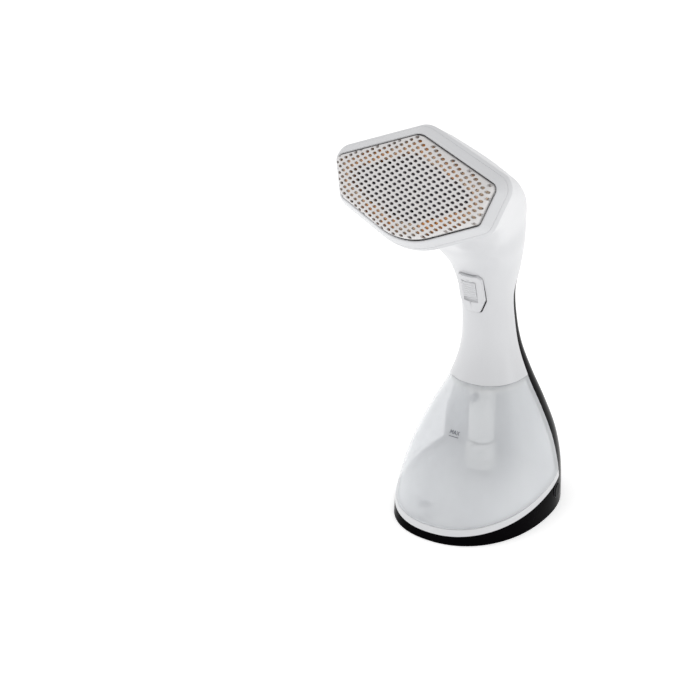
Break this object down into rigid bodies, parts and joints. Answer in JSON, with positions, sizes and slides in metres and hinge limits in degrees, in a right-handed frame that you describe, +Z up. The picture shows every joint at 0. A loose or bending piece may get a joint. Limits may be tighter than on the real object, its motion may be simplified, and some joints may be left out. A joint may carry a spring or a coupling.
{
  "type": "garment steamer",
  "caption": "Handheld garment steamer with a perforated hexagonal steam head, slim grip with trigger, frosted water tank and a flat foot to stand on.",
  "frame": {"origin": "centre of the flat underside of the foot, where the steamer stands", "axes": "+Z up along the grip, -Y towards what the steam head faces, +X to the side"},
  "size_m": [0.1176, 0.1665, 0.2727],
  "materials": {
    "white_shell": "glossy white moulding",
    "black_shell": "glossy black moulding",
    "frosted_tank": "frosted translucent plastic",
    "cover_grey": "satin light grey moulding",
    "dark_plastic": "fine matt texture",
    "grey_plastic": "matt",
    "ivory_plastic": "satin",
    "beige_plastic": "glass-filled, matt",
    "brown_plastic": "matt phenolic",
    "board_green": "solder resist",
    "lamp_lens": "tinted lens",
    "amber_silicone": "smooth",
    "pad_rubber": "matt",
    "grey_rubber": "matt",
    "hose_silicone": "translucent",
    "dark_aluminium": "dark coated",
    "cast_aluminium": "as cast",
    "steel": "plated",
    "copper": "enamelled winding",
    "brass": "bright"
  },
  "bodies": {
    "handle": {"front_housing": "white_shell", "rear_cover": "black_shell", "base_tray": "black_shell", "base_plate": "dark_plastic", "anti_slip_pads": "pad_rubber", "base_screws": "steel", "handle_screws": "steel", "bezel": "white_shell", "steam_cover": "cover_grey", "face_gasket": "amber_silicone", "soleplate": "dark_aluminium", "steam_chamber": "cast_aluminium", "heating_element": "steel", "thermostat": "brown_plastic", "thermal_fuse": "brass", "heater_frame": "beige_plastic", "heater_screws": "steel", "chassis": "grey_plastic", "switch_bracket": "grey_plastic", "control_board": "board_green", "board_components": "dark_plastic", "micro_switch": "dark_plastic", "trigger_pin": "steel", "trigger_spring": "steel", "ready_light": "lamp_lens", "pump_body": "ivory_plastic", "pump_coil": "copper", "pump_yoke": "steel", "pump_mounts": "pad_rubber", "pump_spring": "steel", "suction_hose": "hose_silicone", "delivery_hose": "hose_silicone", "inlet_socket": "grey_plastic", "inlet_seal": "pad_rubber", "button_guides": "dark_plastic", "button_spring_right": "steel", "button_spring_left": "steel", "cord_inlet": "pad_rubber", "cord_clamp": "dark_plastic", "clamp_screws": "steel"},
    "trigger": {"trigger": "white_shell"},
    "lock_slider": {"lock_slider": "white_shell"},
    "switch_plunger": {"switch_plunger": "dark_plastic"},
    "tank": {"tank_shell": "frosted_tank", "tank_floor": "white_shell", "tank_seal": "grey_rubber", "fill_plug": "grey_rubber", "suction_column": "ivory_plastic", "water_filter": "ivory_plastic", "vent_valve": "grey_rubber"},
    "release_right": {"release_button_right": "black_shell"},
    "release_left": {"release_button_left": "black_shell"},
    "pump_plunger": {"pump_plunger": "steel"}
  },
  "joints": [
    {"name": "trigger_hinge", "type": "hinge", "parent": "handle", "child": "trigger", "pos_m": [0, -0.0125, 0.165], "axis": [1, 0, 0], "range_deg": [0, 6], "stiffness_Nm_per_rad": 0.5, "springref_deg": -3.44, "deforming": ["trigger_spring"]},
    {"name": "lock_slide", "type": "slide", "parent": "trigger", "child": "lock_slider", "axis": [0, 0.2907, -0.9568], "range_m": [0, 0.003]},
    {"name": "switch_plunger_slide", "type": "slide", "parent": "handle", "child": "switch_plunger", "axis": [0, 1, 0], "range_m": [0, 0.002]},
    {"name": "release_right_slide", "type": "slide", "parent": "handle", "child": "release_right", "axis": [-0.9792, -0.2028, 0], "range_m": [0, 0.0025], "stiffness_N_per_m": 800, "springref_m": -0.0012, "deforming": ["button_spring_right"]},
    {"name": "release_left_slide", "type": "slide", "parent": "handle", "child": "release_left", "axis": [0.9792, -0.2028, 0], "range_m": [0, 0.0025], "stiffness_N_per_m": 800, "springref_m": -0.0012, "deforming": ["button_spring_left"]},
    {"name": "tank_slide", "type": "slide", "parent": "handle", "child": "tank", "axis": [0, -1, 0], "range_m": [0, 0.14]},
    {"name": "pump_plunger_slide", "type": "slide", "parent": "handle", "child": "pump_plunger", "axis": [0, -0.1542, 0.988], "range_m": [0, 0.003], "stiffness_N_per_m": 300, "springref_m": -0.002, "deforming": ["pump_spring"]}
  ],
  "couplings": [
    {"joint": "switch_plunger_slide", "follows": "trigger_hinge", "m_per_rad": 0.019}
  ]
}
